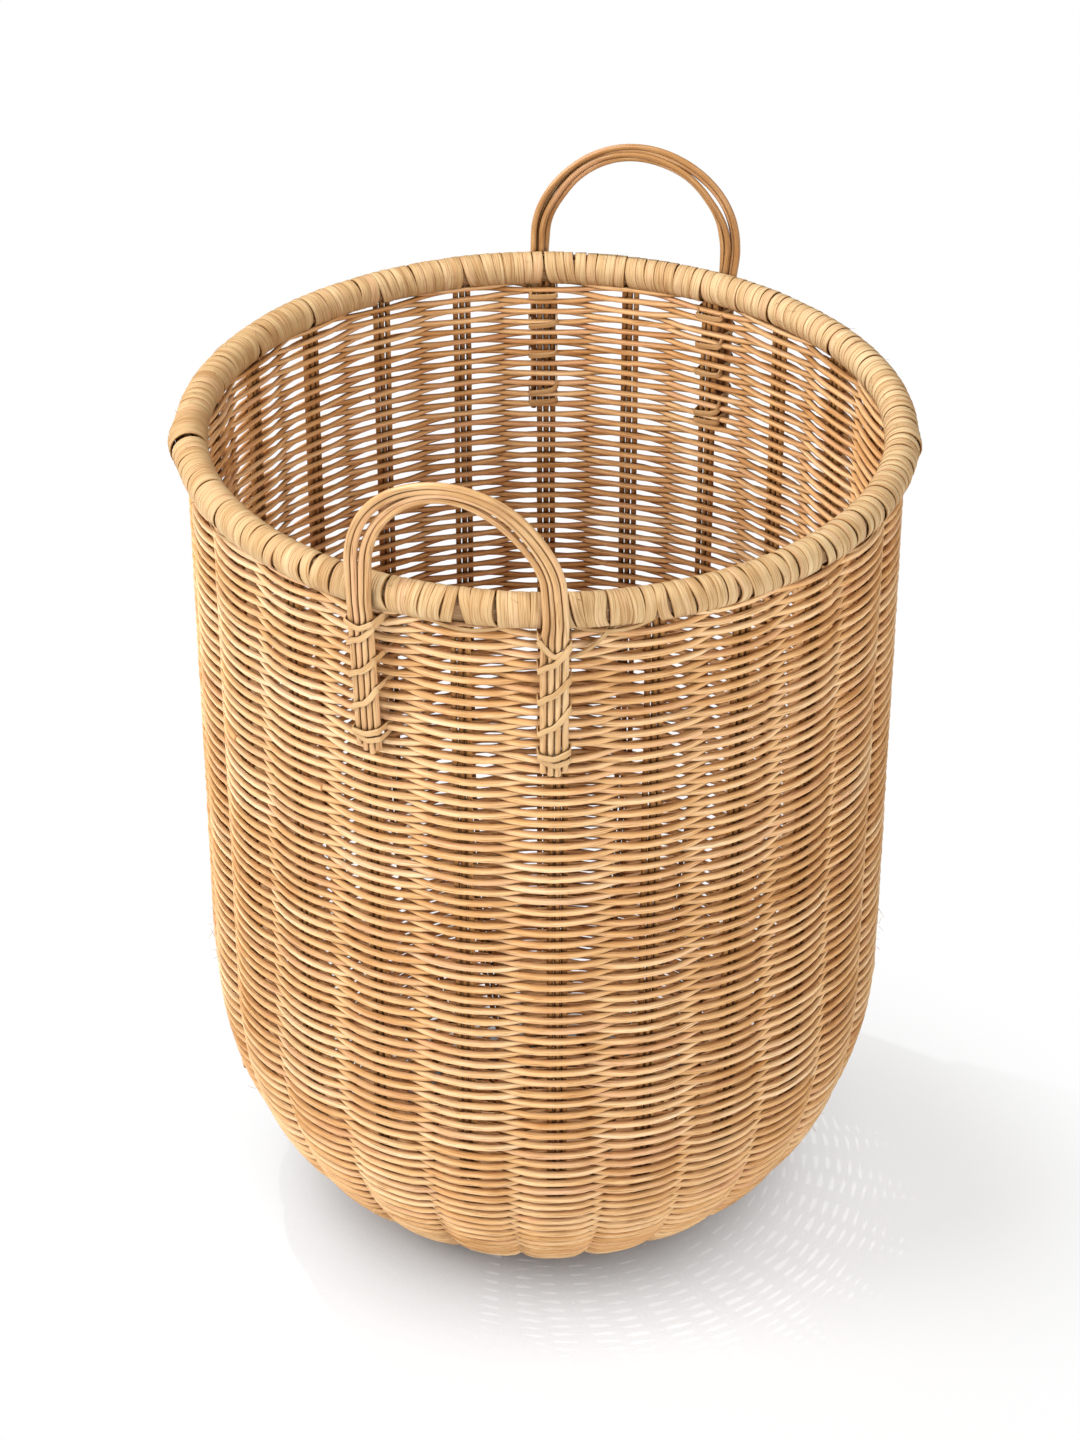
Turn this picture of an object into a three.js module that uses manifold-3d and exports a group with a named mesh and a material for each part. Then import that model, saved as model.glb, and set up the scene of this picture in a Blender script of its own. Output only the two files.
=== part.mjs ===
// Round woven basket with a bowl-shaped bottom, a wrapped rim and two lashed handles.
// Millimetres, +Z up. The origin is on the floor under the middle; the front handle is on the -Y side.
import * as THREE from "three";
import { mergeVertices } from "three/addons/utils/BufferGeometryUtils.js";
import Module from "manifold-3d";

// Reeds and the gap that touching pieces keep
const fit = 0.3;
const stakeReed = 2.8;
const stakeReedPitch = 3.5;
const reedsPerStake = 3;
const weaverReed = 3;
const weaverPress = 0.6;

// Stakes: 24 round the wall, two for each spoke that crosses the base
const stakeCount = 24;
const stakeDriftDegrees = 0.95;

// Wall and the bowl under it: the wall's middle runs up into the rim a little inside the rim's own middle
const wallInsideRim = 1.6;
const bowlHeight = 168;
const baseRadius = 66;
const crossHalfLength = 28;
const plainBaseRadius = 55;
const plainFadeWidth = 31;
const spokeBendReach = 0.4;

// Rim: two hoops that clamp the stake ends, wound with flat cane
const rimHeight = 470;
const rimRadius = 181.2;
const rimTubeRadius = 8.8;
const wrapThickness = 0.9;
const stakeEndAboveRim = 5;

// Handles: four reeds side by side in each leg
const handleReed = 3.2;
const reedsPerHandle = 4;
const legLength = 90;
const crownRise = 65;
const crownOutsideRim = 9.2;
const crownRollDegrees = 14;
const frontLegSpacing = 95;
const backLegSpacing = 103;

// Lashings: flat cane. Each turn is given by where it starts on the left of the leg and where it leaves on
// the right, from 0 at the top turn, just under the rim, to 1 at the leg's lower end.
const laceWidth = 2.3;
const laceThickness = 1;
const laceCornerRadius = 1.2;
const laceEdgeShare = 0.1;
const laceUnderRim = 2.25;
const laceTurns = [
  { left: 0.891, right: 0.878 },
  { left: 0.827, right: 0.814 },
  { left: 0.679, right: 0.486 },
  { left: 0.434, right: 0.267 },
  { left: 0.19, right: 0.042 },
  { left: 0, right: 0 },
];

// How much of a flat strip's half thickness its edges are rounded off by
const edgeRounding = 0.6;

// How finely the round shapes are cut into faces
const pointsPerLobe = 3;
const bowlSteps = 5;
const fanSteps = 3;
const rimSegments = 48;
const wrapSides = 8;
const coreSides = 8;
const handleSides = 6;
const handleSteps = 20;
const archSteps = 10;

// Sizes that follow from the ones above
const wallRadius = rimRadius - wallInsideRim;
const stakePitch = (2 * Math.PI) / stakeCount;
const stakesPerQuarter = stakeCount / 4;
const stakeHalfWidth = ((reedsPerStake - 1) * stakeReedPitch + stakeReed) / 2;
const stakeHalfThickness = stakeReed / 2;
const crestHalf = stakeHalfThickness + weaverReed;
const valleyHalf = weaverPress * weaverReed;
const spokePitch = 2 * stakeHalfWidth + fit;
const layerOffset = stakeHalfThickness + fit / 2;
const weaveTop = rimHeight - rimTubeRadius - fit;
const handlePitch = handleReed + fit;
const rowHalfWidth = ((reedsPerHandle - 1) * handlePitch + handleReed) / 2;
const legRadiusAtWall = wallRadius + crestHalf + fit + handleReed / 2;
const legRadiusAtRim = rimRadius + rimTubeRadius + fit + handleReed / 2;

const wasm = await Module();
wasm.setup();

function toSolid(geometry) {
  const bare = new THREE.BufferGeometry();
  bare.setAttribute("position", geometry.getAttribute("position"));
  bare.setIndex(geometry.index);
  const merged = mergeVertices(bare, 1e-4);
  const mesh = new wasm.Mesh({
    numProp: 3,
    vertProperties: merged.attributes.position.array,
    triVerts: new Uint32Array(merged.index.array),
  });
  return new wasm.Manifold(mesh);
}

function toGeometry(solid) {
  const mesh = solid.getMesh();
  const geometry = new THREE.BufferGeometry();
  geometry.setAttribute("position", new THREE.BufferAttribute(mesh.vertProperties, 3));
  geometry.setIndex(new THREE.BufferAttribute(mesh.triVerts, 1));
  return geometry;
}

function cut(solid, tools) {
  return tools.reduce((rest, tool) => rest.subtract(tool), solid);
}

// Angles run from the front (-Y) towards +X. The stakes stand a little closer on one side than on the other.
function stakeAngle(index) {
  const even = index * stakePitch;
  return even + THREE.MathUtils.degToRad(stakeDriftDegrees) * Math.cos(even);
}

function outward(angle) {
  return new THREE.Vector3(Math.sin(angle), -Math.cos(angle), 0);
}

function sideways(angle) {
  return new THREE.Vector3(Math.cos(angle), Math.sin(angle), 0);
}

function onWall(angle, radius, height) {
  return outward(angle).multiplyScalar(radius).setZ(height);
}

const up = new THREE.Vector3(0, 0, 1);

// Skin over rings of equal length: a ring runs anticlockwise seen from the end that the list runs to.
// A closed chain joins its last ring to its first; an open one gets a flat fan over each end.
function skin(rings, closedChain) {
  const count = rings[0].length;
  const positions = rings.flat().flatMap((p) => [p.x, p.y, p.z]);
  const index = [];
  const bands = closedChain ? rings.length : rings.length - 1;
  for (let i = 0; i < bands; i++) {
    const a = i * count;
    const b = ((i + 1) % rings.length) * count;
    for (let j = 0; j < count; j++) {
      const k = (j + 1) % count;
      index.push(a + j, a + k, b + k);
      index.push(a + j, b + k, b + j);
    }
  }
  if (!closedChain) {
    for (const [ring, facesForward] of [
      [0, false],
      [rings.length - 1, true],
    ]) {
      const centre = positions.length / 3;
      const middle = rings[ring].reduce((sum, p) => sum.add(p), new THREE.Vector3()).divideScalar(count);
      positions.push(middle.x, middle.y, middle.z);
      for (let j = 0; j < count; j++) {
        const here = ring * count + j;
        const next = ring * count + ((j + 1) % count);
        index.push(...(facesForward ? [here, next, centre] : [next, here, centre]));
      }
    }
  }
  const geometry = new THREE.BufferGeometry();
  geometry.setAttribute("position", new THREE.Float32BufferAttribute(positions, 3));
  geometry.setIndex(index);
  return geometry;
}

// Sections of a strip: a flat one with rounded edges, and the slot that it passes through.
function flatSection(halfWidth, halfThickness) {
  const shoulder = halfWidth - edgeRounding * halfThickness;
  return [
    [halfWidth, 0],
    [shoulder, halfThickness],
    [-shoulder, halfThickness],
    [-halfWidth, 0],
    [-shoulder, -halfThickness],
    [shoulder, -halfThickness],
  ];
}

function slotSection(halfWidth, halfThickness) {
  const x = halfWidth + fit;
  const y = halfThickness + fit;
  return [
    [x, -y],
    [x, y],
    [-x, y],
    [-x, -y],
  ];
}

// A strip with its section swept along frames of { at, ahead, normal }, wide across the normal.
function strap(frames, section) {
  const rings = frames.map(({ at, ahead, normal }) => {
    const across = new THREE.Vector3().crossVectors(normal, ahead).normalize();
    return section.map(([x, y]) => at.clone().addScaledVector(across, x).addScaledVector(normal, y));
  });
  return skin(rings, false);
}

// From 0 where the base is plain to 1 where the weave has drawn in between the stakes.
function weaveSpread(radius) {
  return THREE.MathUtils.smoothstep(radius, plainBaseRadius, plainBaseRadius + plainFadeWidth);
}

// Half of a spoke, from its top end in the rim down the wall, round the bowl and in to the straight
// cross at the middle of the base. The two layers of the cross come together where they have fanned out.
function halfSpoke(index) {
  const angle = stakeAngle(index);
  const quarter = Math.floor(index / stakesPerQuarter);
  const layer = quarter % 2 === 0 ? 1 : -1;
  const armAngle = (quarter + 0.5) * stakesPerQuarter * stakePitch - stakePitch / 2;
  const lateral = ((index % stakesPerQuarter) - (stakesPerQuarter - 1) / 2) * spokePitch;
  const frames = [];
  const place = (at, ahead, normal) => {
    const apart = 1 - weaveSpread(Math.hypot(at.x, at.y));
    at.addScaledVector(normal, layer * layerOffset * apart);
    frames.push({ at, ahead, normal });
  };
  const out = outward(angle);
  place(onWall(angle, wallRadius, rimHeight + stakeEndAboveRim), up.clone().negate(), out.clone());
  for (let i = 0; i <= bowlSteps; i++) {
    const { radius, height, normalOut, normalUp } = bowlPoint(i / bowlSteps);
    const normal = out.clone().multiplyScalar(normalOut).setZ(normalUp);
    const ahead = out.clone().multiplyScalar(normalUp).setZ(-normalOut);
    place(onWall(angle, radius, height), ahead, normal);
  }
  const start = onWall(angle, baseRadius, crestHalf);
  const arm = outward(armAngle);
  const end = arm.clone().multiplyScalar(crossHalfLength).addScaledVector(sideways(armAngle), lateral);
  end.z = crestHalf;
  const reach = spokeBendReach * start.distanceTo(end);
  const fan = new THREE.CubicBezierCurve3(
    start,
    start.clone().addScaledVector(out, -reach),
    end.clone().addScaledVector(arm, reach),
    end,
  );
  for (let i = 1; i <= fanSteps; i++) {
    const t = i / fanSteps;
    place(fan.getPoint(t), fan.getTangent(t), up.clone().negate());
  }
  return frames;
}

// The middle of the wall below the straight part, from 0 at its top to 1 where it meets the flat base.
function bowlPoint(t) {
  const turn = (t * Math.PI) / 2;
  const width = wallRadius - baseRadius;
  const depth = bowlHeight - crestHalf;
  const size = Math.hypot(depth * Math.cos(turn), width * Math.sin(turn));
  return {
    radius: baseRadius + width * Math.cos(turn),
    height: bowlHeight - depth * Math.sin(turn),
    normalOut: (depth * Math.cos(turn)) / size,
    normalUp: (-width * Math.sin(turn)) / size,
  };
}

// A spoke joins two stakes that face each other across the base.
function spokeFrames(number) {
  const quarter = Math.floor(number / stakesPerQuarter);
  const opposite = (2 * quarter + 3) * stakesPerQuarter - 1 - number;
  const there = halfSpoke(opposite).reverse();
  there.forEach(({ ahead }) => ahead.negate());
  return [...halfSpoke(number), ...there];
}

const allSpokeFrames = Array.from({ length: stakeCount / 2 }, (_, i) => spokeFrames(i));
const stakeSection = flatSection(stakeHalfWidth, stakeHalfThickness);
const channelSection = slotSection(stakeHalfWidth, stakeHalfThickness);
const spokes = allSpokeFrames.map((frames) => strap(frames, stakeSection));
const spokeChannels = allSpokeFrames.map((frames) => toSolid(strap(frames, channelSection)));

// Half the thickness of the weave: it swells over each stake and draws in between two.
// Near the middle of the base it stays thick.
function weaveHalf(index, radius) {
  const swell = (1 + Math.cos(2 * Math.PI * index)) / 2;
  const valley = THREE.MathUtils.lerp(crestHalf, valleyHalf, weaveSpread(radius));
  return THREE.MathUtils.lerp(valley, crestHalf, swell);
}

// One ring of the weave's surface. The side is 1 on the outside and -1 on the inside.
function weaveRing({ radius, height, normalOut, normalUp }, side) {
  return Array.from({ length: stakeCount * pointsPerLobe }, (_, i) => {
    const index = i / pointsPerLobe;
    const offset = side * weaveHalf(index, radius);
    return onWall(stakeAngle(index), radius + offset * normalOut, height + offset * normalUp);
  });
}

function weaveShell(levels) {
  const outside = levels.map((level) => weaveRing(level, 1));
  const inside = levels.map((level) => weaveRing(level, -1)).reverse();
  return toSolid(skin([...outside, ...inside], true));
}

const straight = { radius: wallRadius, normalOut: 1, normalUp: 0 };
const sideLevels = [
  { ...straight, height: bowlHeight },
  { ...straight, height: weaveTop },
];
const bowlTop = { ...straight, height: bowlHeight - fit };
const bowlLevels = Array.from({ length: bowlSteps }, (_, i) => bowlPoint(1 - i / bowlSteps));
bowlLevels.push(bowlTop);

// The base weave is a disc: its underside from the middle out, then its top side back in.
function baseDisc() {
  const flat = (radius) => ({ radius, height: crestHalf, normalOut: 0, normalUp: -1 });
  const edge = flat(baseRadius - fit);
  const plain = flat(plainBaseRadius);
  const rings = [weaveRing(plain, 1), weaveRing(edge, 1), weaveRing(edge, -1), weaveRing(plain, -1)];
  return toSolid(skin(rings, false));
}

// The radius at which a leg's reeds stand: they lean out from the wall at their feet to clear the rim.
const legLean = (legRadiusAtRim - legRadiusAtWall) / legLength;
function legRadius(height) {
  return legRadiusAtRim + Math.min(height - rimHeight, 0) * legLean;
}

// A handle stands on the stakes on each side of its middle stake.
function handlePlan(middleStake, legSpacing) {
  const angle = (stakeAngle(middleStake - 1) + stakeAngle(middleStake + 1)) / 2;
  const halfAngle = Math.asin(legSpacing / 2 / legRadiusAtRim);
  return { angle, halfAngle, legSpacing, middleStake };
}

function handleReedGeometry({ angle, halfAngle, legSpacing }, number) {
  const offset = ((reedsPerHandle - 1) / 2 - number) * handlePitch;
  const archRadius = legSpacing / 2;
  const archBase = rimHeight + crownRise - archRadius;
  const archFoot = legRadiusAtRim * Math.cos(halfAngle);
  const legHeights = [1, 0.75, 0.5, 0.25, 0].map((share) => rimHeight - share * legLength);
  const leg = (side) =>
    legHeights.map((height) => {
      const legAngle = angle + side * halfAngle;
      const at = onWall(legAngle, legRadius(height), height);
      return at.addScaledVector(sideways(legAngle), side * offset);
    });
  const arch = [];
  for (let i = 0; i <= archSteps; i++) {
    const turn = (Math.PI * i) / archSteps;
    const roll = THREE.MathUtils.degToRad(crownRollDegrees) * Math.sin(turn);
    const reach = archRadius + offset * Math.cos(roll);
    const distance = THREE.MathUtils.lerp(archFoot, rimRadius + crownOutsideRim, Math.sin(turn) ** 2);
    const at = outward(angle).multiplyScalar(distance + offset * Math.sin(roll));
    at.addScaledVector(sideways(angle), -reach * Math.cos(turn));
    arch.push(at.setZ(archBase + reach * Math.sin(turn)));
  }
  const path = new THREE.CatmullRomCurve3([...leg(-1), ...arch, ...leg(1).reverse()]);
  const section = new THREE.Shape();
  for (let i = 0; i < handleSides; i++) {
    const turn = (2 * Math.PI * i) / handleSides;
    const corner = [(handleReed / 2) * Math.cos(turn), (handleReed / 2) * Math.sin(turn)];
    if (i === 0) {
      section.moveTo(...corner);
    } else {
      section.lineTo(...corner);
    }
  }
  return new THREE.ExtrudeGeometry(section, { steps: handleSteps, extrudePath: path });
}

// Where a lashing lies: it goes round the leg's row of reeds and round the stake behind it.
function lashingPlan({ angle, halfAngle, middleStake }, side) {
  const legAngle = angle + side * halfAngle;
  const offCentre = Math.abs(stakeAngle(middleStake + side) - legAngle) * wallRadius;
  const half = Math.max(rowHalfWidth, stakeHalfWidth + offCentre) + fit + laceThickness / 2;
  const back = wallRadius - crestHalf - fit - laceThickness / 2;
  return { legAngle, half, back };
}

function laceHeight(share) {
  const top = rimTubeRadius + laceUnderRim + laceWidth / 2;
  return rimHeight - THREE.MathUtils.lerp(top, legLength, share);
}

function laceHeights(turn) {
  const from = laceHeight(laceTurns[turn].left);
  const to = laceHeight(laceTurns[turn].right);
  const isLast = turn + 1 === laceTurns.length;
  return { from, to, next: isLast ? to : laceHeight(laceTurns[turn + 1].left), isLast };
}

// A lashing is one unbroken strip. Each turn crosses the leg from left to right, goes in through the wall
// beside the stake, back behind it and out again, with round corners. The last turn ends behind the stake.
function lashingFrames({ legAngle, half, back }) {
  const c = laceCornerRadius;
  const points = [];
  const add = (across, radius, height) =>
    points.push(onWall(legAngle, radius, height).addScaledVector(sideways(legAngle), across));
  const clear = fit + laceThickness / 2 + (laceWidth / 2) * legLean;
  const front = (height) => legRadius(height) + handleReed / 2 + clear;
  laceTurns.forEach((_, turn) => {
    const { from, to, next, isLast } = laceHeights(turn);
    const early = THREE.MathUtils.lerp(from, to, laceEdgeShare);
    const middle = (from + to) / 2;
    const late = THREE.MathUtils.lerp(to, from, laceEdgeShare);
    add(-half, front(from) - c, from);
    add(-half + c, front(early), early);
    add(0, front(middle), middle);
    add(half - c, front(late), late);
    add(half, front(to) - c, to);
    add(half, back + c, to);
    add(half - c, back, THREE.MathUtils.lerp(to, next, laceEdgeShare));
    if (!isLast) {
      add(-half + c, back, THREE.MathUtils.lerp(next, to, laceEdgeShare));
      add(-half, back + c, next);
    }
  });
  return points.map((at, i) => {
    const before = points[Math.max(i - 1, 0)];
    const after = points[Math.min(i + 1, points.length - 1)];
    const ahead = after.clone().sub(before).normalize();
    const normal = new THREE.Vector3().crossVectors(ahead, up).normalize();
    return { at, ahead, normal };
  });
}

// The slots in the wall that the turns of a lashing pass through.
function lashingSlots({ legAngle, half }) {
  const size = new THREE.Vector3(2 * (crestHalf + fit), laceThickness + 2 * fit, laceWidth + 2 * fit);
  const slots = [];
  laceTurns.forEach((_, turn) => {
    const { from, to } = laceHeights(turn);
    for (const [across, height] of [
      [-half, from],
      [half, to],
    ]) {
      const at = onWall(legAngle, wallRadius, height).addScaledVector(sideways(legAngle), across);
      const place = new THREE.Matrix4().makeBasis(outward(legAngle), sideways(legAngle), up).setPosition(at);
      slots.push(toSolid(new THREE.BoxGeometry(size.x, size.y, size.z).applyMatrix4(place)));
    }
  });
  return slots;
}

const pointsPerTurn = 9;

// The least gap between one turn of a strip and the next, measured between the corners of its sections.
function leastOwnGap(geometry) {
  const points = geometry.getAttribute("position");
  const sectionSides = 6;
  const sections = Math.floor(points.count / sectionSides);
  const a = new THREE.Vector3();
  const b = new THREE.Vector3();
  let least = Infinity;
  for (let i = 0; i < sections * sectionSides; i++) {
    a.fromBufferAttribute(points, i);
    const next = (Math.floor(i / sectionSides) + pointsPerTurn / 2) * sectionSides;
    for (let j = next; j < sections * sectionSides; j++) {
      b.fromBufferAttribute(points, j);
      least = Math.min(least, a.distanceTo(b));
    }
  }
  return least;
}

const handles = {
  front: handlePlan(0, frontLegSpacing),
  back: handlePlan(stakeCount / 2, backLegSpacing),
};
const lashings = {};
const allLashingSlots = [];
for (const [end, plan] of Object.entries(handles)) {
  for (const [hand, side] of [
    ["left", -1],
    ["right", 1],
  ]) {
    const name = `lashing_${end}_${hand}`;
    const where = lashingPlan(plan, side);
    lashings[name] = strap(lashingFrames(where), flatSection(laceWidth / 2, laceThickness / 2));
    allLashingSlots.push(...lashingSlots(where));
    console.log(`${name}: least gap to itself ${leastOwnGap(lashings[name]).toFixed(2)} mm`);
  }
}

// A ring about the basket's axis from a closed outline of [radius, height] points.
function ring(outline) {
  const points = [...outline, outline[0]].map(([radius, height]) => new THREE.Vector2(radius, height));
  const geometry = new THREE.LatheGeometry(points, rimSegments);
  geometry.rotateX(Math.PI / 2);
  return toSolid(geometry);
}

function roundSection(radius, sides) {
  return Array.from({ length: sides }, (_, i) => {
    const turn = (2 * Math.PI * (i + 0.5)) / sides;
    return [rimRadius + radius * Math.cos(turn), rimHeight + radius * Math.sin(turn)];
  });
}

function boxSection(inner, outer) {
  const low = rimHeight - 2 * rimTubeRadius;
  const high = rimHeight + 2 * rimTubeRadius;
  return [
    [inner, low],
    [outer, low],
    [outer, high],
    [inner, high],
  ];
}

// Both hoops fill the wrap on their side of the stake ends. A ring's flats lie inside its true circle.
const hollowRadius = rimTubeRadius - wrapThickness;
const hoopStock = ring(roundSection(hollowRadius - fit, coreSides));
const stakeClear = stakeHalfThickness + fit;
const farOut = rimRadius + 2 * rimTubeRadius;
const farIn = rimRadius - 2 * rimTubeRadius;
const innerHoop = hoopStock.intersect(ring(boxSection(farIn, wallRadius - stakeClear)));
const flatSag = (wallRadius + stakeClear) * (1 - Math.cos(Math.PI / rimSegments));
const outerHoop = hoopStock.intersect(ring(boxSection(wallRadius + stakeClear + flatSag, farOut)));
const wrapHollow = ring(roundSection(hollowRadius, coreSides));
const rimWrap = cut(ring(roundSection(rimTubeRadius, wrapSides)), [wrapHollow, ...spokeChannels]);

const reedColour = { color: 0xe0b67c, roughness: 0.55, metalness: 0 };
const paleCane = { color: 0xe3c48f, roughness: 0.7, metalness: 0 };
const shadedReed = { color: 0xb98552, roughness: 0.7, metalness: 0 };
const rodWood = { color: 0xc9a06c, roughness: 0.75, metalness: 0 };

const basket = new THREE.Group();
function addPiece(name, geometry, finish) {
  const flat = geometry.index ? geometry.toNonIndexed() : geometry;
  flat.computeVertexNormals();
  const mesh = new THREE.Mesh(flat, new THREE.MeshStandardMaterial(finish));
  mesh.name = name;
  basket.add(mesh);
}

spokes.forEach((geometry, i) => addPiece(`spoke_${String(i + 1).padStart(2, "0")}`, geometry, shadedReed));
addPiece("base_weave", toGeometry(cut(baseDisc(), spokeChannels)), reedColour);
addPiece("bowl_weave", toGeometry(cut(weaveShell(bowlLevels), spokeChannels)), reedColour);
const sideCuts = [...spokeChannels, ...allLashingSlots];
addPiece("side_weave", toGeometry(cut(weaveShell(sideLevels), sideCuts)), reedColour);
addPiece("rim_hoop_inner", toGeometry(innerHoop), rodWood);
addPiece("rim_hoop_outer", toGeometry(outerHoop), rodWood);
addPiece("rim_wrap", toGeometry(rimWrap), paleCane);
for (const [end, plan] of Object.entries(handles)) {
  for (let i = 0; i < reedsPerHandle; i++) {
    addPiece(`handle_${end}_reed_${i + 1}`, handleReedGeometry(plan, i), reedColour);
  }
}
for (const [name, geometry] of Object.entries(lashings)) {
  addPiece(name, geometry, paleCane);
}

export default basket;
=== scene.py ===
import math
from dataclasses import dataclass

import bpy
from mathutils import Matrix, Vector


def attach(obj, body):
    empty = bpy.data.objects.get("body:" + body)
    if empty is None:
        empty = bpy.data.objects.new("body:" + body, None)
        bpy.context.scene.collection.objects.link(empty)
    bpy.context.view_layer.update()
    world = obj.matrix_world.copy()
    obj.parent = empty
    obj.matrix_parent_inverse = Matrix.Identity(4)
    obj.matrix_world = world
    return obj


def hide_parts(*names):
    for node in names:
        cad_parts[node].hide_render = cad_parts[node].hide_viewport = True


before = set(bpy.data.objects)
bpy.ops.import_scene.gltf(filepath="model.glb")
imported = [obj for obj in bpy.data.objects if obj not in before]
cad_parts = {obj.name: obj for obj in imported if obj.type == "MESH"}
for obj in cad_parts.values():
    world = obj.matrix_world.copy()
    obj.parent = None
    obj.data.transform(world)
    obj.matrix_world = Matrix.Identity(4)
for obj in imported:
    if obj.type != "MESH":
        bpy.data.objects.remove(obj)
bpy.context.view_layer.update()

# Spokes. Twelve bundles of three round rattan core reeds, laid side by side. Each bundle runs down one side
# of the basket, flat across the base and up the other side, so it makes two of the 24 stakes. The bundles
# cross in two layers in the middle of the base, and their ends are clamped between the rim hoops.

mm = 0.001
stake_count = 24
stakes_per_quarter = stake_count // 4
stake_pitch = 2 * math.pi / stake_count
stake_drift = math.radians(0.95)
stake_reed = 3.1 * mm
stake_reed_pitch = 3.5 * mm
reeds_per_stake = 3
spoke_pitch = 10.1 * mm
layer_offset = 1.6 * mm
cross_half_length = 28 * mm
cross_bend = 12 * mm

base_radius = 66 * mm
base_middle_height = 5.0 * mm
bowl_height = 168 * mm
bowl_fullness = 0.94
bowl_steps = 72
wall_radius = 179.6 * mm
rim_height = 470 * mm
stake_top = rim_height + 4.5 * mm
least_height = 2.0 * mm


def wall_profile():
    """Half a section through the basket, along the middle of the weave's thickness: out over the flat base,
    up round the bowl and up the wall, as a line of edges in the plane y = 0."""
    points = [(0, 0, base_middle_height)]
    for i in range(bowl_steps + 1):
        turn = math.pi / 2 * (1 - i / bowl_steps)
        radius = base_radius + (wall_radius - base_radius) * abs(math.cos(turn)) ** bowl_fullness
        height = bowl_height - (bowl_height - base_middle_height) * math.sin(turn) ** bowl_fullness
        points.append((radius, 0, height))
    points.append((wall_radius, 0, stake_top))
    return points


def line_mesh(name, lines, facing=None):
    """Several lines of points as edges, with the way that a flat strip along them faces, if that is given."""
    points = [point for line in lines for point in line]
    edges = []
    start = 0
    for line in lines:
        edges += [(i, i + 1) for i in range(start, start + len(line) - 1)]
        start += len(line)
    mesh = bpy.data.meshes.new(name)
    mesh.from_pydata(points, edges, [])
    if facing:
        ways = mesh.attributes.new("facing", "FLOAT_VECTOR", "POINT")
        for i, way in enumerate(way for line in facing for way in line):
            ways.data[i].vector = way
    return mesh


profile_points = [Vector(point) for point in wall_profile()]
profile_seed = line_mesh("profile", [profile_points])
profile_length = sum((b - a).length for a, b in zip(profile_points, profile_points[1:]))
wall_start = profile_length - (stake_top - bowl_height)


class Wire:
    """An output of a node. Sums on wires add Math nodes, and node() adds any other kind of node."""

    def __init__(self, tree, socket=None):
        self.tree = tree
        self.socket = socket

    def node(self, kind, settings=None, inputs=None):
        made = self.tree.nodes.new(kind)
        for name, value in (settings or {}).items():
            if name == "stops":
                stops = made.color_ramp.elements
                while len(stops) < len(value):
                    stops.new(1)
                for stop, (position, colour) in zip(stops, value):
                    stop.position = position
                    stop.color = (*colour, 1)
            else:
                setattr(made, name, value)
        for name, value in (inputs or {}).items():
            if isinstance(name, str):
                socket = next(s for s in made.inputs if s.name == name and s.enabled)
            else:
                socket = made.inputs[name]
            if isinstance(value, Wire):
                self.tree.links.new(value.socket, socket)
            else:
                socket.default_value = value
        return Wire(self.tree, next((s for s in made.outputs if s.enabled), None))

    def out(self, name):
        outputs = self.socket.node.outputs
        return Wire(self.tree, next(s for s in outputs if s.name == name and s.enabled))

    def math(self, operation, *values):
        return self.node("ShaderNodeMath", {"operation": operation}, dict(enumerate((self, *values))))

    def math_on(self, first, operation):
        return self.node("ShaderNodeMath", {"operation": operation}, {0: first, 1: self})

    def __add__(self, other):
        return self.math("ADD", other)

    __radd__ = __add__

    def __sub__(self, other):
        return self.math("SUBTRACT", other)

    def __rsub__(self, other):
        return self.math_on(other, "SUBTRACT")

    def __mul__(self, other):
        return self.math("MULTIPLY", other)

    __rmul__ = __mul__

    def __truediv__(self, other):
        return self.math("DIVIDE", other)

    def __rtruediv__(self, other):
        return self.math_on(other, "DIVIDE")


def smooth(wire, low, high):
    """From 0 at low to 1 at high, eased at both ends."""
    settings = {"interpolation_type": "SMOOTHSTEP"}
    return wire.node("ShaderNodeMapRange", settings, {"Value": wire, "From Min": low, "From Max": high})


def between(a, b, share):
    return a + (b - a) * share


def near(wire, middle, reach):
    """A bell curve: 1 at the middle, about a third at its reach and soon nothing beyond it."""
    share = (wire - middle) / reach
    return (share * share * -1).math("EXPONENT")


def toward(angle, middle, power):
    """1 where the angle is the middle one, falling to 0 on the far side of the basket."""
    return ((angle - middle).math("COSINE") * 0.5 + 0.5).math("POWER", power)


def bearing_of(angle):
    """The angle without its whole turns, from half a turn back to half a turn on."""
    return angle - ((angle / (2 * math.pi) + 0.5).math("FLOOR")) * (2 * math.pi)


def vector(wire, x, y, z):
    return wire.node("ShaderNodeCombineXYZ", inputs={"X": x, "Y": y, "Z": z})


def axes_of(wire):
    return wire.node("ShaderNodeSeparateXYZ", inputs={"Vector": wire})


def chance(wire, identity, seed, low=0.0, high=1.0):
    """A number that stays the same for each identity."""
    values = {"Min": low, "Max": high, "ID": identity, "Seed": seed}
    return wire.node("FunctionNodeRandomValue", {"data_type": "FLOAT"}, values)


def wander(wire, x, y, seed):
    """A smooth random drift between about -1 and 1."""
    values = {"Vector": vector(wire, x, y, seed * 3.7), "Scale": 1.0, "Detail": 1.0}
    return wire.node("ShaderNodeTexNoise", inputs=values) * 4 - 2


def new_tree(name, inputs):
    """A geometry tree with named inputs. Whole numbers, other numbers and materials get their own kinds
    of sockets."""
    tree = bpy.data.node_groups.new(name, "GeometryNodeTree")
    tree.interface.new_socket("Geometry", in_out="INPUT", socket_type="NodeSocketGeometry")
    kinds = {int: "NodeSocketInt", float: "NodeSocketFloat"}
    for label, value in inputs.items():
        kind = kinds.get(type(value), "NodeSocketMaterial")
        tree.interface.new_socket(label, in_out="INPUT", socket_type=kind)
    tree.interface.new_socket("Geometry", in_out="OUTPUT", socket_type="NodeSocketGeometry")
    return Wire(tree).node("NodeGroupInput")


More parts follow.
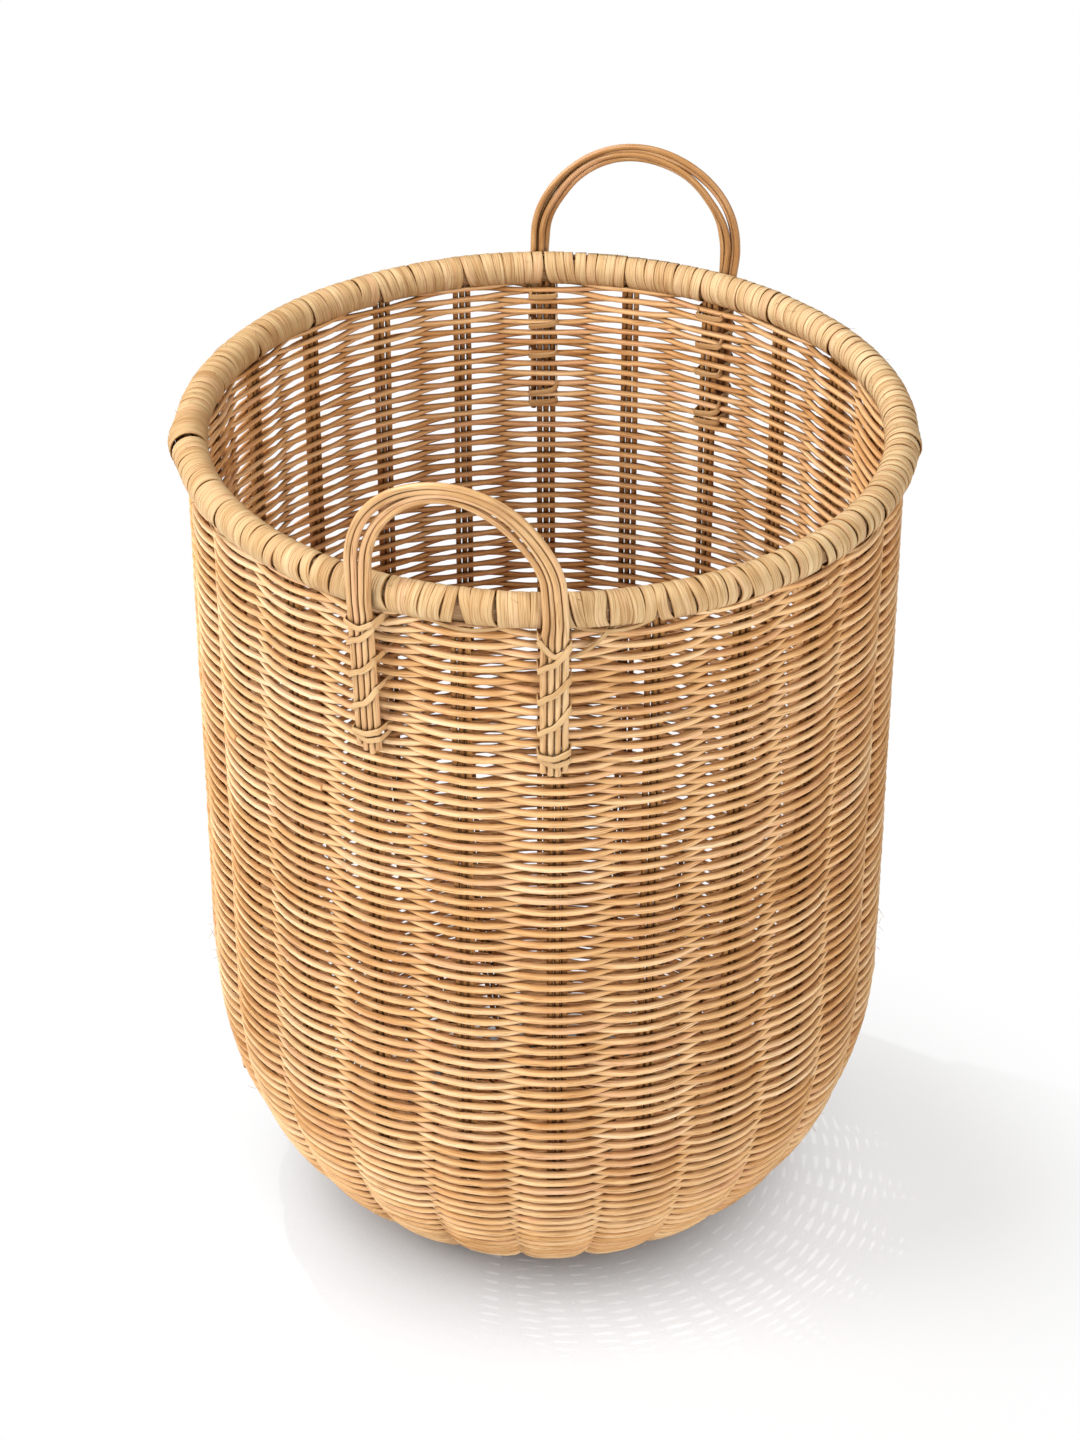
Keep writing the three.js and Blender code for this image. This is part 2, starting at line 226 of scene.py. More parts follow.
def given_line(start):
    return start.node("GeometryNodeMeshToCurve", inputs={"Mesh": start.out("Geometry")})


def along_it(start, measure):
    """Where each point stands on its line: its Factor from 0 to 1, or its Length from the start."""
    return start.node("GeometryNodeSplineParameter").out(measure)


def copies_of_a_line(start, points, amount):
    """A number of equal lines, each with its own number under the name Duplicate Index."""
    line = start.node("GeometryNodeCurvePrimitiveLine", inputs={"End": (1, 0, 0)})
    line = start.node("GeometryNodeResampleCurve", inputs={"Curve": line, "Count": points})
    settings = {"domain": "SPLINE"}
    return start.node("GeometryNodeDuplicateElements", settings, {"Geometry": line, "Amount": amount})


def on_basket(profile, angle, distance, offset):
    """The place at an angle round the basket, a distance out from the middle of the base along the wall's
    middle, and an offset outwards from it. Stakes stand at whole stake pitches of this angle."""
    settings = {"mode": "LENGTH"}
    sample = profile.node("GeometryNodeSampleCurve", settings, {"Curves": profile, "Length": distance})
    place = axes_of(sample.out("Position"))
    ahead = axes_of(sample.out("Tangent"))
    radius = place.out("X") + offset * ahead.out("Z")
    height = (place.out("Z") - offset * ahead.out("X")).math("MAXIMUM", least_height)
    turned = angle + stake_drift * angle.math("COSINE")
    return vector(profile, radius * turned.math("SINE"), radius * turned.math("COSINE") * -1, height)


def moved_to(path, place):
    return path.node("GeometryNodeSetPosition", inputs={"Geometry": path, "Position": place})


def noted(geometry, name, value, kind="FLOAT"):
    """The geometry with a value stored on its points under a name that its material reads."""
    settings = {"data_type": kind}
    inputs = {"Geometry": geometry, "Name": name, "Value": value}
    return geometry.node("GeometryNodeStoreNamedAttribute", settings, inputs)


def toned(path, tone, along):
    """The path with what its reed's material reads: the reed's tone and the length along it."""
    return noted(noted(path, "reed_tone", tone), "reed_along", along)


def round_section(start, diameter, sides):
    values = {"Resolution": sides, "Radius": diameter / 2}
    return start.node("GeometryNodeCurvePrimitiveCircle", inputs=values)


def swept(path, section, thickness, finish):
    """The last nodes of every reed and strip: its section swept along its path, smooth all round, with
    flat cut ends."""
    place = section.node("GeometryNodeInputPosition")
    section = noted(section, "reed_section", place, "FLOAT_VECTOR")
    values = {"Curve": path, "Profile Curve": section, "Scale": thickness, "Fill Caps": True}
    mesh = path.node("GeometryNodeCurveToMesh", inputs=values)
    corners = mesh.node("GeometryNodeInputMeshFaceNeighbors").out("Vertex Count")
    test = {"data_type": "INT", "operation": "LESS_THAN"}
    is_side = corners.node("FunctionNodeCompare", test, {2: corners, 3: 5})
    shaded = mesh.node("GeometryNodeSetShadeSmooth", inputs={"Geometry": mesh, "Shade Smooth": is_side})
    whole = shaded.node("GeometryNodeRealizeInstances", inputs={"Geometry": shaded})
    painted = whole.node("GeometryNodeSetMaterial", inputs={"Geometry": whole, "Material": finish})
    painted.node("NodeGroupOutput", inputs={"Geometry": painted})


def grown(name, seed_mesh, start, sizes):
    """A new piece whose plain mesh is what the tree makes from the seed mesh with these sizes."""
    piece = bpy.data.objects.new(name, seed_mesh)
    bpy.context.scene.collection.objects.link(piece)
    modifier = piece.modifiers.new("grow", "NODES")
    modifier.node_group = start.tree
    for item in start.tree.interface.items_tree:
        if item.in_out == "INPUT" and item.name in sizes:
            modifier[item.identifier] = sizes[item.name]
    depsgraph = bpy.context.evaluated_depsgraph_get()
    evaluated = piece.evaluated_get(depsgraph)
    mesh = bpy.data.meshes.new_from_object(evaluated, preserve_all_data_layers=True, depsgraph=depsgraph)
    piece.modifiers.remove(modifier)
    piece.data = mesh
    return piece


def new_material(name):
    """An empty material, and a wire that adds nodes to it."""
    material = bpy.data.materials.new(name)
    material.use_nodes = True
    material.node_tree.nodes.clear()
    return material, Wire(material.node_tree)


def surfaced(pen, colour, roughness, grain, relief, shine):
    """The last nodes of a material of reed or rod, whose grain stands out a little."""
    bump = pen.node("ShaderNodeBump", inputs={"Strength": relief, "Distance": 0.2 * mm, "Height": grain})
    values = {"Base Color": colour, "Roughness": roughness, "Normal": bump, "Specular IOR Level": shine}
    shader = pen.node("ShaderNodeBsdfPrincipled", inputs=values)
    pen.node("ShaderNodeOutputMaterial", inputs={"Surface": shader})


def reed_material(
    name, tones, streak, flush, gloss, shine=0.12,
    fibre=0.35 * mm, grain=0.55, strip_width=None, shaded_row_width=None,
):
    """Rattan: each reed has its own tone, drifting along it towards a flush, with fine dark fibres and pale
    worn ones. The tones run from the darkest reeds to the palest. A flat strip has darker edges, and a woven
    reed has painted shade on its underside, where it lies on the row below. Painted shade darkens the creases
    between the reeds."""
    material, pen = new_material(name)
    tone = pen.node("ShaderNodeAttribute", {"attribute_name": "reed_tone"}).out("Fac")
    along = pen.node("ShaderNodeAttribute", {"attribute_name": "reed_along"}).out("Fac")
    across = axes_of(pen.node("ShaderNodeAttribute", {"attribute_name": "reed_section"}).out("Vector"))

    def fibres(width, length, detail):
        place = vector(pen, across.out("X") / width, across.out("Y") / width, along / length)
        values = {"Vector": place, "Scale": 1.0, "Detail": detail}
        return pen.node("ShaderNodeTexNoise", inputs=values).out("Fac")

    def tinted(colour, share, other):
        values = {"Factor": share, "A": colour, "B": (*other, 1)}
        return pen.node("ShaderNodeMix", {"data_type": "RGBA"}, values)

    fine = fibres(fibre, 40 * fibre, 2.0)
    worn = fibres(1.5 * fibre, 50 * fibre, 3.0)
    broad = fibres(3.5 * mm, 30 * mm, 3.0)
    drift = fibres(5 * mm, 75 * mm, 1.0)
    count = len(tones) - 1
    stops = [(i / count, colour) for i, colour in enumerate(tones)]
    shade = tone * 0.75 + (broad - 0.5) * 1.3 + 0.14
    colour = pen.node("ShaderNodeValToRGB", {"stops": stops}, {"Fac": shade})
    colour = tinted(colour, smooth(drift, 0.5, 0.72) * 0.6, flush)
    colour = tinted(colour, smooth(worn, 0.56, 0.72) * 0.55, tones[-1])
    colour = tinted(colour, smooth(fine, grain, grain + 0.14) * 0.7, streak)
    if strip_width:
        from_middle = across.out("Y").math("ABSOLUTE") / (strip_width / 2)
        colour = tinted(colour, smooth(from_middle + (broad - 0.5) * 0.4, 0.8, 1.0) * 0.85, streak)
    # painted shade: a woven reed is darker on its underside, where it lies on the row below
    if shaded_row_width:
        below = across.out("Y") / (-0.5 * shaded_row_width)
        colour = tinted(colour, smooth(below + (broad - 0.5) * 0.5, 0.4, 1.0) * 0.5, streak)
    # painted shade: the creases between the reeds are darkened where ambient occlusion finds little open to
    # the air
    open_to_air = pen.node("ShaderNodeAmbientOcclusion", {"samples": 8}, {"Distance": 3 * mm}).out("AO")
    crease_shade = tuple(value * 0.4 for value in streak)
    colour = tinted(colour, smooth(open_to_air, 0.85, 0.3) * 0.78, crease_shade)
    surfaced(pen, colour, gloss + (fine - 0.5) * 0.25, grain=fine, relief=0.35, shine=shine)
    return material


# The stake reeds' tones are darker than the weavers': painted shade of the windows between the rows.
stake_finish = reed_material(
    "stake_reed_core",
    tones=[(0.30, 0.13, 0.04), (0.44, 0.21, 0.07), (0.58, 0.31, 0.115)],
    streak=(0.13, 0.045, 0.013),
    flush=(0.30, 0.12, 0.04),
    gloss=0.8,
)

spoke_sizes = {
    "Reeds": stake_count // 2 * reeds_per_stake,
    "Points": 168,
    "Length": profile_length,
    "Finish": stake_finish,
}


def spoke_tree():
    start = new_tree("Spokes", spoke_sizes)
    profile = given_line(start)
    path = copies_of_a_line(start, start.out("Points"), start.out("Reeds"))
    number = path.out("Duplicate Index")
    spoke = (number / reeds_per_stake).math("FLOOR")
    reed = number - spoke * reeds_per_stake - (reeds_per_stake - 1) / 2
    run = along_it(start, "Factor") * 2 - 1
    far = run.math("GREATER_THAN", 0)
    distance = run.math("ABSOLUTE") * start.out("Length")
    first_quarter = (spoke / stakes_per_quarter).math("FLOOR")
    opposite = (first_quarter * 2 + 3) * stakes_per_quarter - 1 - spoke
    stake = between(spoke, opposite, far)
    quarter = (stake / stakes_per_quarter).math("FLOOR")
    from_arm = stake - quarter * stakes_per_quarter - (stakes_per_quarter - 1) / 2
    arm_angle = (quarter + 0.5) * (math.pi / 2) - stake_pitch / 2
    ease = wander(start, distance * 14, number * 5.3, 1) * 0.35 * mm
    beside = reed * stake_reed_pitch * (1 - far * 2) + ease * smooth(distance, base_radius, 2 * base_radius)
    lateral = from_arm * spoke_pitch + beside
    fanned = smooth(distance, cross_half_length, base_radius)
    straight_out = (distance * distance + lateral * lateral).math("SQRT")
    bare_distance = between(straight_out, distance, fanned)
    values = {"Curves": profile, "Length": distance}
    sample = start.node("GeometryNodeSampleCurve", {"mode": "LENGTH"}, values)
    radius = axes_of(sample.out("Position")).out("X").math("MAXIMUM", mm)
    fan_angle = from_arm * stake_pitch + beside / radius
    angle = arm_angle + between(lateral.math("ARCTAN2", distance), fan_angle, fanned)
    layer = 1 - quarter.math("MODULO", 2) * 2
    apart = 1 - smooth(distance, cross_half_length, cross_half_length + cross_bend)
    offset = layer * apart * layer_offset
    path = moved_to(path, on_basket(profile, angle, bare_distance, offset))
    path = toned(path, chance(start, number, 4), along_it(start, "Length") + number * 1.7)
    swept(path, round_section(start, stake_reed, 8), 1.0, start.out("Finish"))
    return start


spokes = grown("stake_reeds", profile_seed, spoke_tree(), spoke_sizes)
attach(spokes, "root")
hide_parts(*(f"spoke_{number:02d}" for number in range(1, stake_count // 2 + 1)))

# Weave. Two round reeds chase each other round the stakes from the base to the rim in plain weave, one
# outside the even stakes and one outside the odd ones. Each is made of many lengths of core reed: where one
# runs out, the next is laid in beside it, and some of the cut ends stand out from the wall.

weaver_reed = 3.34 * mm
weave_reach = (stake_reed + weaver_reed) / 2 + 0.05 * mm
weave_start = 40 * mm
weave_pitch = 3.66 * mm
weave_tightening = 0.003 * mm
weave_top = wall_start + rim_height - bowl_height - 9 * mm
corner_widening = 4.2 * mm
tightness_at_base = 2.6
tightness_on_wall = 1.0

# Rows stray up and down, slowly and from stake to stake, and more near the rim. The legs pull the top rows
# down, and the lower ring of their lashings holds two rows apart.
slow_stray = 0.45 * mm
rim_stray = 0.4 * mm
rim_stray_reach = 45 * mm
quick_stray = 0.38 * mm
sway_depth = 0.16 * mm
pull_of_legs = 2.2 * mm
pull_beside_left_leg = 3.2 * mm
pulled_angle = math.radians(-11.5)
pull_reach = 9 * mm
lower_ring = wall_start + 389 * mm - bowl_height
ring_reach = 4.5 * mm
ring_parting = 5.5 * mm

# The last part of each length, measured in stakes, can stand off the wall, inwards or outwards.
loose_end_length = 0.55
loose_end_in = -1.6 * mm
loose_end_out = 1.9 * mm

# The reed is thicker in front and in the bowl, thinner on the left. Its tone carries painted shade behind and
# painted light at the upper left.
front_swelling = 0.055
swelling_middle = math.radians(35)
bowl_swelling = 0.055
left_thinning = 0.15
left_middle = math.radians(-100)
left_reach = math.radians(32)
shaded_angle = math.radians(-150)
painted_shade_darkening = 0.26
lit_angle = math.radians(-38)
lit_reach = math.radians(26)
painted_light_lightening = 0.3
weave_finish = reed_material(
    "weaver_reed_core",
    tones=[(0.52, 0.245, 0.08), (0.73, 0.415, 0.175), (0.86, 0.56, 0.285), (0.94, 0.70, 0.44)],
    streak=(0.29, 0.115, 0.03),
    flush=(0.72, 0.39, 0.22),
    gloss=0.45,
    shaded_row_width=weaver_reed,
)


def weave_sizes(first_turn, turns, reeds, steps_per_stake):
    return {
        "First turn": first_turn,
        "Turns per reed": turns / reeds,
        "Reeds": reeds,
        "Points": round(turns / reeds * stake_count * steps_per_stake) + steps_per_stake // 3,
        "Tail": 0.3 / stake_count,
        "Finish": weave_finish,
    }


def weave_tree():
    start = new_tree("Plain weave", weave_sizes(0.0, 1.0, 2, 10))
    profile = given_line(start)
    path = copies_of_a_line(start, start.out("Points"), start.out("Reeds") * 2)
    number = path.out("Duplicate Index")
    length = (number / 2).math("FLOOR")
    strand = number - length * 2

    def joint(place):
        inner = place.math("GREATER_THAN", 0.5) * place.math("LESS_THAN", start.out("Reeds") - 0.5)
        return place + chance(start, place * 2 + strand, 8, -0.35, 0.35) * inner

    tail = start.out("Tail") / start.out("Turns per reed")
    run = along_it(start, "Factor")
    done = between(joint(length), joint(length + 1) + tail, run)
    turn = start.out("First turn") + done * start.out("Turns per reed")
    angle = turn * (2 * math.pi)
    row = turn * 2 + strand
    whole_row = row.math("FLOOR")

    quarter = ((angle + stake_pitch / 2) / (math.pi / 2)).math("FLOOR")
    from_arm = angle + stake_pitch / 2 - (quarter + 0.5) * (math.pi / 2)
    level = weave_start + row * weave_pitch - row * row * (weave_tightening / 2)
    round_off = 1 - smooth(level, weave_start, base_radius)
    stray = slow_stray + near(level, weave_top, rim_stray_reach) * rim_stray
    unevenness = wander(start, angle * 1.9, whole_row * 0.83, 2) * stray
    wobble = wander(start, angle * 6.5, whole_row * 1.31, 4) * quick_stray
    bearing = bearing_of(angle)
    beside_legs = near(bearing.math("ABSOLUTE"), stake_pitch, 0.085)
    pull = beside_legs * pull_of_legs + near(bearing, pulled_angle, 0.05) * pull_beside_left_leg
    pulled_down = pull * near(level, weave_top, pull_reach)
    by_legs = near(bearing, stake_pitch, 0.13) + near(bearing, -stake_pitch, 0.1) * 0.6
    from_ring = (level - lower_ring) / ring_reach
    parted = from_ring * near(level, lower_ring, ring_reach) * by_legs * ring_parting
    distance = level - corner_widening * round_off * (from_arm * 4).math("COSINE")
    distance = distance + unevenness + wobble - pulled_down + parted

    half_arm = (stakes_per_quarter - 1) / 2
    aside_share = half_arm * spoke_pitch / distance.math("MINIMUM", 1)
    crowded = aside_share.math("MINIMUM", 0.9).math("ARCSINE") / half_arm
    fanned = smooth(distance, cross_half_length, base_radius)
    spacing = between(crowded, stake_pitch, fanned)
    aside = from_arm.math("ABSOLUTE")
    past_arm = (aside - spacing * half_arm) / (math.pi / 4 - spacing * half_arm)
    counted = (aside / spacing).math("MINIMUM", half_arm) + past_arm.math("MAXIMUM", 0) * 0.5
    stake = quarter * stakes_per_quarter + half_arm + counted * from_arm.math("SIGN")

    values = {"Value": distance, "From Min": weave_start, "From Max": wall_start}
    values |= {"To Min": tightness_at_base, "To Max": tightness_on_wall}
    tightness = start.node("ShaderNodeMapRange", inputs=values)
    swing = (stake * math.pi).math("COSINE") * (1 - strand * 2)
    side = (swing * tightness).math("TANH") / tightness.math("TANH")
    turns_left = (1 - run) * (joint(length + 1) - joint(length) + tail) * start.out("Turns per reed")
    loose_end = 1 - smooth(turns_left * stake_count, 0, loose_end_length)
    sticks_out = chance(start, number, 21, loose_end_in, loose_end_out)
    sway = wander(start, angle * 2.3, whole_row * 1.7, 3) * sway_depth
    offset = side * weave_reach + sway + loose_end * sticks_out
    path = moved_to(path, on_basket(profile, angle, distance, offset))
    tone = chance(start, number + start.out("First turn") * 7, 9, 0.25, 0.85)
    upper = smooth(level, wall_start + 90 * mm, wall_start + 250 * mm)
    upper_left_light = near(bearing, lit_angle, lit_reach) * upper
    # painted shade behind and painted light at the upper left, added to each length's own tone
    tone = tone - toward(angle, shaded_angle, 3) * painted_shade_darkening + upper_left_light * painted_light_lightening
    path = toned(path, tone, along_it(start, "Length") + number * 1.7)
    in_bowl = 1 - smooth(level, wall_start - 20 * mm, wall_start + 70 * mm)
    swelling = (angle - swelling_middle).math("COSINE") * front_swelling + in_bowl * bowl_swelling
    swelling = swelling - near(bearing, left_middle, left_reach) * (1 - in_bowl) * left_thinning
    thickness = chance(start, number, 14, 0.96, 1.04) * (1 + swelling)
    path = path.node("GeometryNodeSetCurveNormal", {"mode": "Z_UP"}, {"Curve": path})
    swept(path, round_section(start, weaver_reed, 8), thickness, start.out("Finish"))
    return start


# Each piece of the weave: the node that it replaces, its turns, the lengths of reed in each of its two
# strands and the steps from one stake to the next.
weave_pieces = [
    ("base_rows", "base_weave", 3.5, 2, 10),
    ("bowl_rows_lower", "bowl_weave", 16.0, 5, 10),
    ("bowl_rows_upper", "bowl_weave", 16.0, 5, 10),
    ("side_rows_lower", "side_weave", 21.75, 8, 8),
    ("side_rows_upper", "side_weave", 21.75, 8, 8),
]
weave_nodes = weave_tree()
first_turn = 0.0
for name, node, turns, reeds, steps_per_stake in weave_pieces:
    sizes = weave_sizes(first_turn, turns, reeds, steps_per_stake)
    first_turn += turns
    rows = grown(name, profile_seed, weave_nodes, sizes)
    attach(rows, "root")
    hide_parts(node)

# Rim. Two split rods of rattan are bent into hoops that clamp the stake ends between them. Flat peeled cane
# is wound tightly round both, turn against turn. Each turn goes under the hoops between two stakes, so the
# turns beside a stake fan out from it.

rim_radius = 181.2 * mm
rim_tube_radius = 8.8 * mm
wrap_width = 5.8 * mm
wrap_thickness = 0.8 * mm
wrap_lap = 0.05
slack_under = 1.5 * mm
slack_over = 1.2 * mm
slack_outside = 2.2 * mm
rim_stray_height = 0.3 * mm
rim_puff = 0.12 * mm
rim_bulge = 2.6 * mm
rim_bulge_angle = math.radians(-70)
rim_bulge_reach = math.radians(4)
bulge_slit = 2.7 * mm
bulge_slit_angle = math.radians(-67.3)
rim_dent = 1.5 * mm
rim_dent_angle = math.radians(98)
# Painted light: the wrapping cane is paler towards the back right, where the rim is lit from above on the
# right.
lit_rim_angle = math.radians(120)
painted_rim_light = 0.45


def hoop_material():
    """Bare rod, seen in the slits between the turns, with its grain running round the hoop. Its dark tones
    are painted shade of the slits.
    """
    material, pen = new_material("hoop_rod_wood")
    axes = axes_of(pen.node("ShaderNodeTexCoord").out("Object"))
    across = (axes.out("X") * axes.out("X") + axes.out("Y") * axes.out("Y")).math("SQRT")
    along = axes.out("Y").math("ARCTAN2", axes.out("X"))
    grain = vector(pen, across / (0.5 * mm), axes.out("Z") / (0.5 * mm), along * 9)
    grain = pen.node("ShaderNodeTexNoise", inputs={"Vector": grain, "Scale": 1.0, "Detail": 3.0}).out("Fac")
    # painted shade: the rod's tones are dark brown, as in the slits
    stops = [(0.3, (0.22, 0.11, 0.045)), (0.7, (0.42, 0.25, 0.12))]
    colour = pen.node("ShaderNodeValToRGB", {"stops": stops}, {"Fac": grain})
    surfaced(pen, colour, roughness=0.8, grain=grain, relief=0.3, shine=0.5)
    return material


hoop_finish = hoop_material()
for name in ("rim_hoop_inner", "rim_hoop_outer"):
    bpy.data.objects[name].material_slots[0].material = hoop_finish

wrap_finish = reed_material(
    "peeled_wrapping_cane",
    tones=[(0.44, 0.255, 0.108), (0.58, 0.387, 0.193), (0.73, 0.55, 0.315)],
    streak=(0.34, 0.16, 0.05),
    flush=(0.64, 0.38, 0.22),
    gloss=0.6,
    fibre=0.5 * mm,
    grain=0.5,
    strip_width=wrap_width,
)
wrap_sizes = {
    "Turns": 197,
    "Points per turn": 24,
    "Width": wrap_width,
    "Thickness": wrap_thickness,
    "Crowding": 0.16,
    "Finish": wrap_finish,
}


def flat_section(start, width, thickness):
    """A flat strip's outline: thin along X, which is the way that the strip faces, and wide along Y."""
    values = {"Width": thickness, "Height": width}
    outline = start.node("GeometryNodeCurvePrimitiveQuadrilateral", inputs=values)
    values = {"Curve": outline, "Count": 2, "Radius": thickness * 0.4, "Limit Radius": True}
    return start.node("GeometryNodeFilletCurve", {"mode": "POLY"}, values)


def wrap_tree():
    start = new_tree("Wound rim", wrap_sizes)
    path = copies_of_a_line(start, start.out("Turns") * start.out("Points per turn") + 1, 1)
    done = start.node("GeometryNodeInputIndex") / start.out("Points per turn")
    over = done.math("FLOOR")
    under = (done + 0.5).math("FLOOR")
    turn = (done - over) * (2 * math.pi)
    sine = turn.math("SINE")
    cosine = turn.math("COSINE")
    near_under = (0.5 + cosine * 0.5).math("MAXIMUM", 0).math("POWER", 1.75)
    near_top = (0.5 - cosine * 0.5).math("POWER", 2)
    turn_pitch = 2 * math.pi / start.out("Turns")
    bays = under * turn_pitch / stake_pitch
    from_bay_middle = bays - bays.math("FLOOR") - 0.5
    crowded = from_bay_middle * stake_pitch * start.out("Crowding") * near_under
    near_outside = (sine * -1).math("MAXIMUM", 0).math("POWER", 2)

    def slack(turn_number, seed, share, reach):
        """How far the turn slips aside there: often hardly at all, and now and then by the whole reach."""
        slip = chance(start, turn_number, seed, -1.0)
        return slip * slip * slip * share * (reach / rim_radius)

    angle = (done + sine * (0.5 / (2 * math.pi))) * turn_pitch - crowded
    angle = angle + slack(under, 31, near_under, slack_under) + slack(over, 32, near_top, slack_over)
    from_slit = (angle - 2 * math.pi - bulge_slit_angle) / turn_pitch
    slit = from_slit * near(from_slit, 0, 1.2) * (bulge_slit / rim_radius)
    angle = angle + slack(over, 39, near_outside, slack_outside) + slit
    turned = angle + stake_drift * angle.math("COSINE")
    puff = wander(start, done * 0.6, 0.5, 33) * rim_puff
    wound_radius = rim_tube_radius - start.out("Thickness") / 2 + puff
    bearing = bearing_of(angle)
    bulge = near(bearing, rim_bulge_angle, rim_bulge_reach) * rim_bulge
    dent = near(bearing, rim_dent_angle, rim_bulge_reach / 2) * rim_dent
    wound_radius = wound_radius + (bulge + dent) * (0.5 - sine * 0.5)
    radius = rim_radius + wander(start, angle * 2.2, 0.5, 37) * rim_stray_height - sine * wound_radius
    height = rim_height + wander(start, angle * 2.6, 0.5, 38) * rim_stray_height - cosine * wound_radius
    out_x = turned.math("SINE")
    out_y = turned.math("COSINE") * -1
    path = moved_to(path, vector(start, radius * out_x, radius * out_y, height))
    facing_x = -1 * sine * out_x - wrap_lap * out_y
    facing = vector(start, facing_x, -1 * sine * out_y + wrap_lap * out_x, -1 * cosine)
    path = path.node("GeometryNodeSetCurveNormal", {"mode": "FREE"}, {"Curve": path, "Normal": facing})
    tone = chance(start, over, 34) * 0.42 + wander(start, done * 0.35, 0.5, 35) * 0.14 + 0.2
    # painted light towards the back right
    tone = tone + toward(angle, lit_rim_angle, 2) * painted_rim_light
    path = toned(path, tone, along_it(start, "Length"))
    section = flat_section(start, start.out("Width"), start.out("Thickness"))
    width = chance(start, over, 36, 0.93, 1.07)
    swept(path, section, width, start.out("Finish"))
    return start


wrapping = grown("rim_wrapping", line_mesh("seed", [[(0, 0, 0), (mm, 0, 0)]]), wrap_tree(), wrap_sizes)
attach(wrapping, "root")
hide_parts("rim_wrap")

# Where one length of wrapping cane runs out, its end is led along under the rim and tucked in again. Each
# entry: the degrees where it starts and ends, and the millimetres that it hangs below the rim and that its
# start is lower.
tucked_ends = [
    (-5.0, 9.5, 1.3, 0.0),
    (17.0, 31.0, 1.0, 0.0),
    (16.0, 24.5, 0.0, 18.0),
    (-52.0, -40.0, 1.0, 0.0),
    (64.0, 77.0, 0.8, 0.0),
    (171.0, 186.0, 1.2, 0.0),
    (193.0, 203.0, 0.0, 9.0),
]
tucked_steps = 16
tucked_sizes = {"Width": 3.2 * mm, "Thickness": 0.8 * mm, "Tone": 0.35, "Finish": wrap_finish}


def outward(angle):
    return Vector((math.sin(angle), -math.cos(angle), 0))


def tucked_line(first, last, hang, fall):
    points = []
    for i in range(tucked_steps + 1):
        run = i / tucked_steps
        middle = math.sin(math.pi * run)
        angle = math.radians(first + (last - first) * run)
        below = fall * (1 - run) * mm
        radius = rim_radius + rim_tube_radius * (0.3 + 0.35 * middle) + below * 0.15
        drop = rim_tube_radius * (0.55 + 0.42 * middle**0.5) + hang * middle * mm + below
        points.append(outward(angle) * radius + Vector((0, 0, rim_height - drop)))
    return points


def strip_tree(sizes):
    start = new_tree("Flat strip", sizes)
    path = given_line(start)
    kept = start.node("GeometryNodeInputNamedAttribute", {"data_type": "FLOAT_VECTOR"}, {"Name": "facing"})
    values = {"Curve": path, "Normal": kept.out("Attribute")}
    path = path.node("GeometryNodeSetCurveNormal", {"mode": "FREE"}, values)
    along = along_it(start, "Length")
    path = toned(path, start.out("Tone") + wander(start, along * 25, 0.5, 51) * 0.15, along)
    width = 1 + wander(start, along * 40, start.out("Tone") * 9, 52) * 0.06
    swept(path, flat_section(start, start.out("Width"), start.out("Thickness")), width, start.out("Finish"))
    return start


def tucked_facing(line):
    """Outwards and a little down."""
    return [point.xy.normalized().to_3d() * 0.85 - Vector((0, 0, 0.5)) for point in line]


tucked_lines = [tucked_line(*entry) for entry in tucked_ends]
seed = line_mesh("tucked_line", tucked_lines, [tucked_facing(line) for line in tucked_lines])
tucked = grown("rim_tucked_ends", seed, strip_tree(tucked_sizes), tucked_sizes)
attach(tucked, "root")

# Handles. Each is four round rattan reeds, laid side by side outside a stake, bent over in an arch and laid
# down outside the next stake but one. In the arch they nest into two layers and part here and there.

handle_reed = 3.35 * mm
handle_pitch = 3.5 * mm
reeds_per_handle = 4
leg_length = 90 * mm
crown_rise = 65 * mm
crown_roll = math.radians(14)
crown_radius = 190.4 * mm
leg_radius_at_rim = 191.9 * mm
leg_lean = 6 / 90
leg_steps = 12
arch_steps = 24
gathering_length = 22 * mm
arch_sway = 0.4 * mm
arch_depth_sway = 0.8 * mm
# Painted light: past this length along each reed its tone is lighter, which lightens the front handle's right
# leg.
painted_light_from = 0.24
painted_light_to = 0.32
painted_light_paling = 0.35
handle_finish = reed_material(
    "handle_reed_core",
    tones=[(0.42, 0.21, 0.075), (0.62, 0.37, 0.165), (0.77, 0.54, 0.29)],
    streak=(0.25, 0.10, 0.028),
    flush=(0.72, 0.40, 0.22),
    gloss=0.38,
    shine=0.3,
    fibre=0.5 * mm,
)
handle_sizes = {"Diameter": handle_reed, "Tone": 0.5, "Seed": 0.0, "Finish": handle_finish}


def sideways(angle):
    return Vector((math.cos(angle), math.sin(angle), 0))


def on_wall(angle, radius, height):
    return outward(angle) * radius + Vector((0, 0, height))


def stake_angle(index):
    even = index * stake_pitch
    return even + stake_drift * math.cos(even)


def leg_radius(height):
    return leg_radius_at_rim + min(height - rim_height, 0) * leg_lean


def rounded(points, steps):
    """A smooth line through all the points, in a number of steps from each to the next."""
    line = []
    ends = [points[0], *points, points[-1]]
    for a, b, c, d in zip(ends, ends[1:], ends[2:], ends[3:]):
        for i in range(steps):
            t = i / steps
            bend = (2 * a - 5 * b + 4 * c - d) * t**2 + (3 * b - a - 3 * c + d) * t**3
            line.append(b + ((c - a) * t + bend) * 0.5)
    line.append(points[-1])
    return line


def bell(value, middle, width):
    return math.exp(-(((value - middle) / width) ** 2))


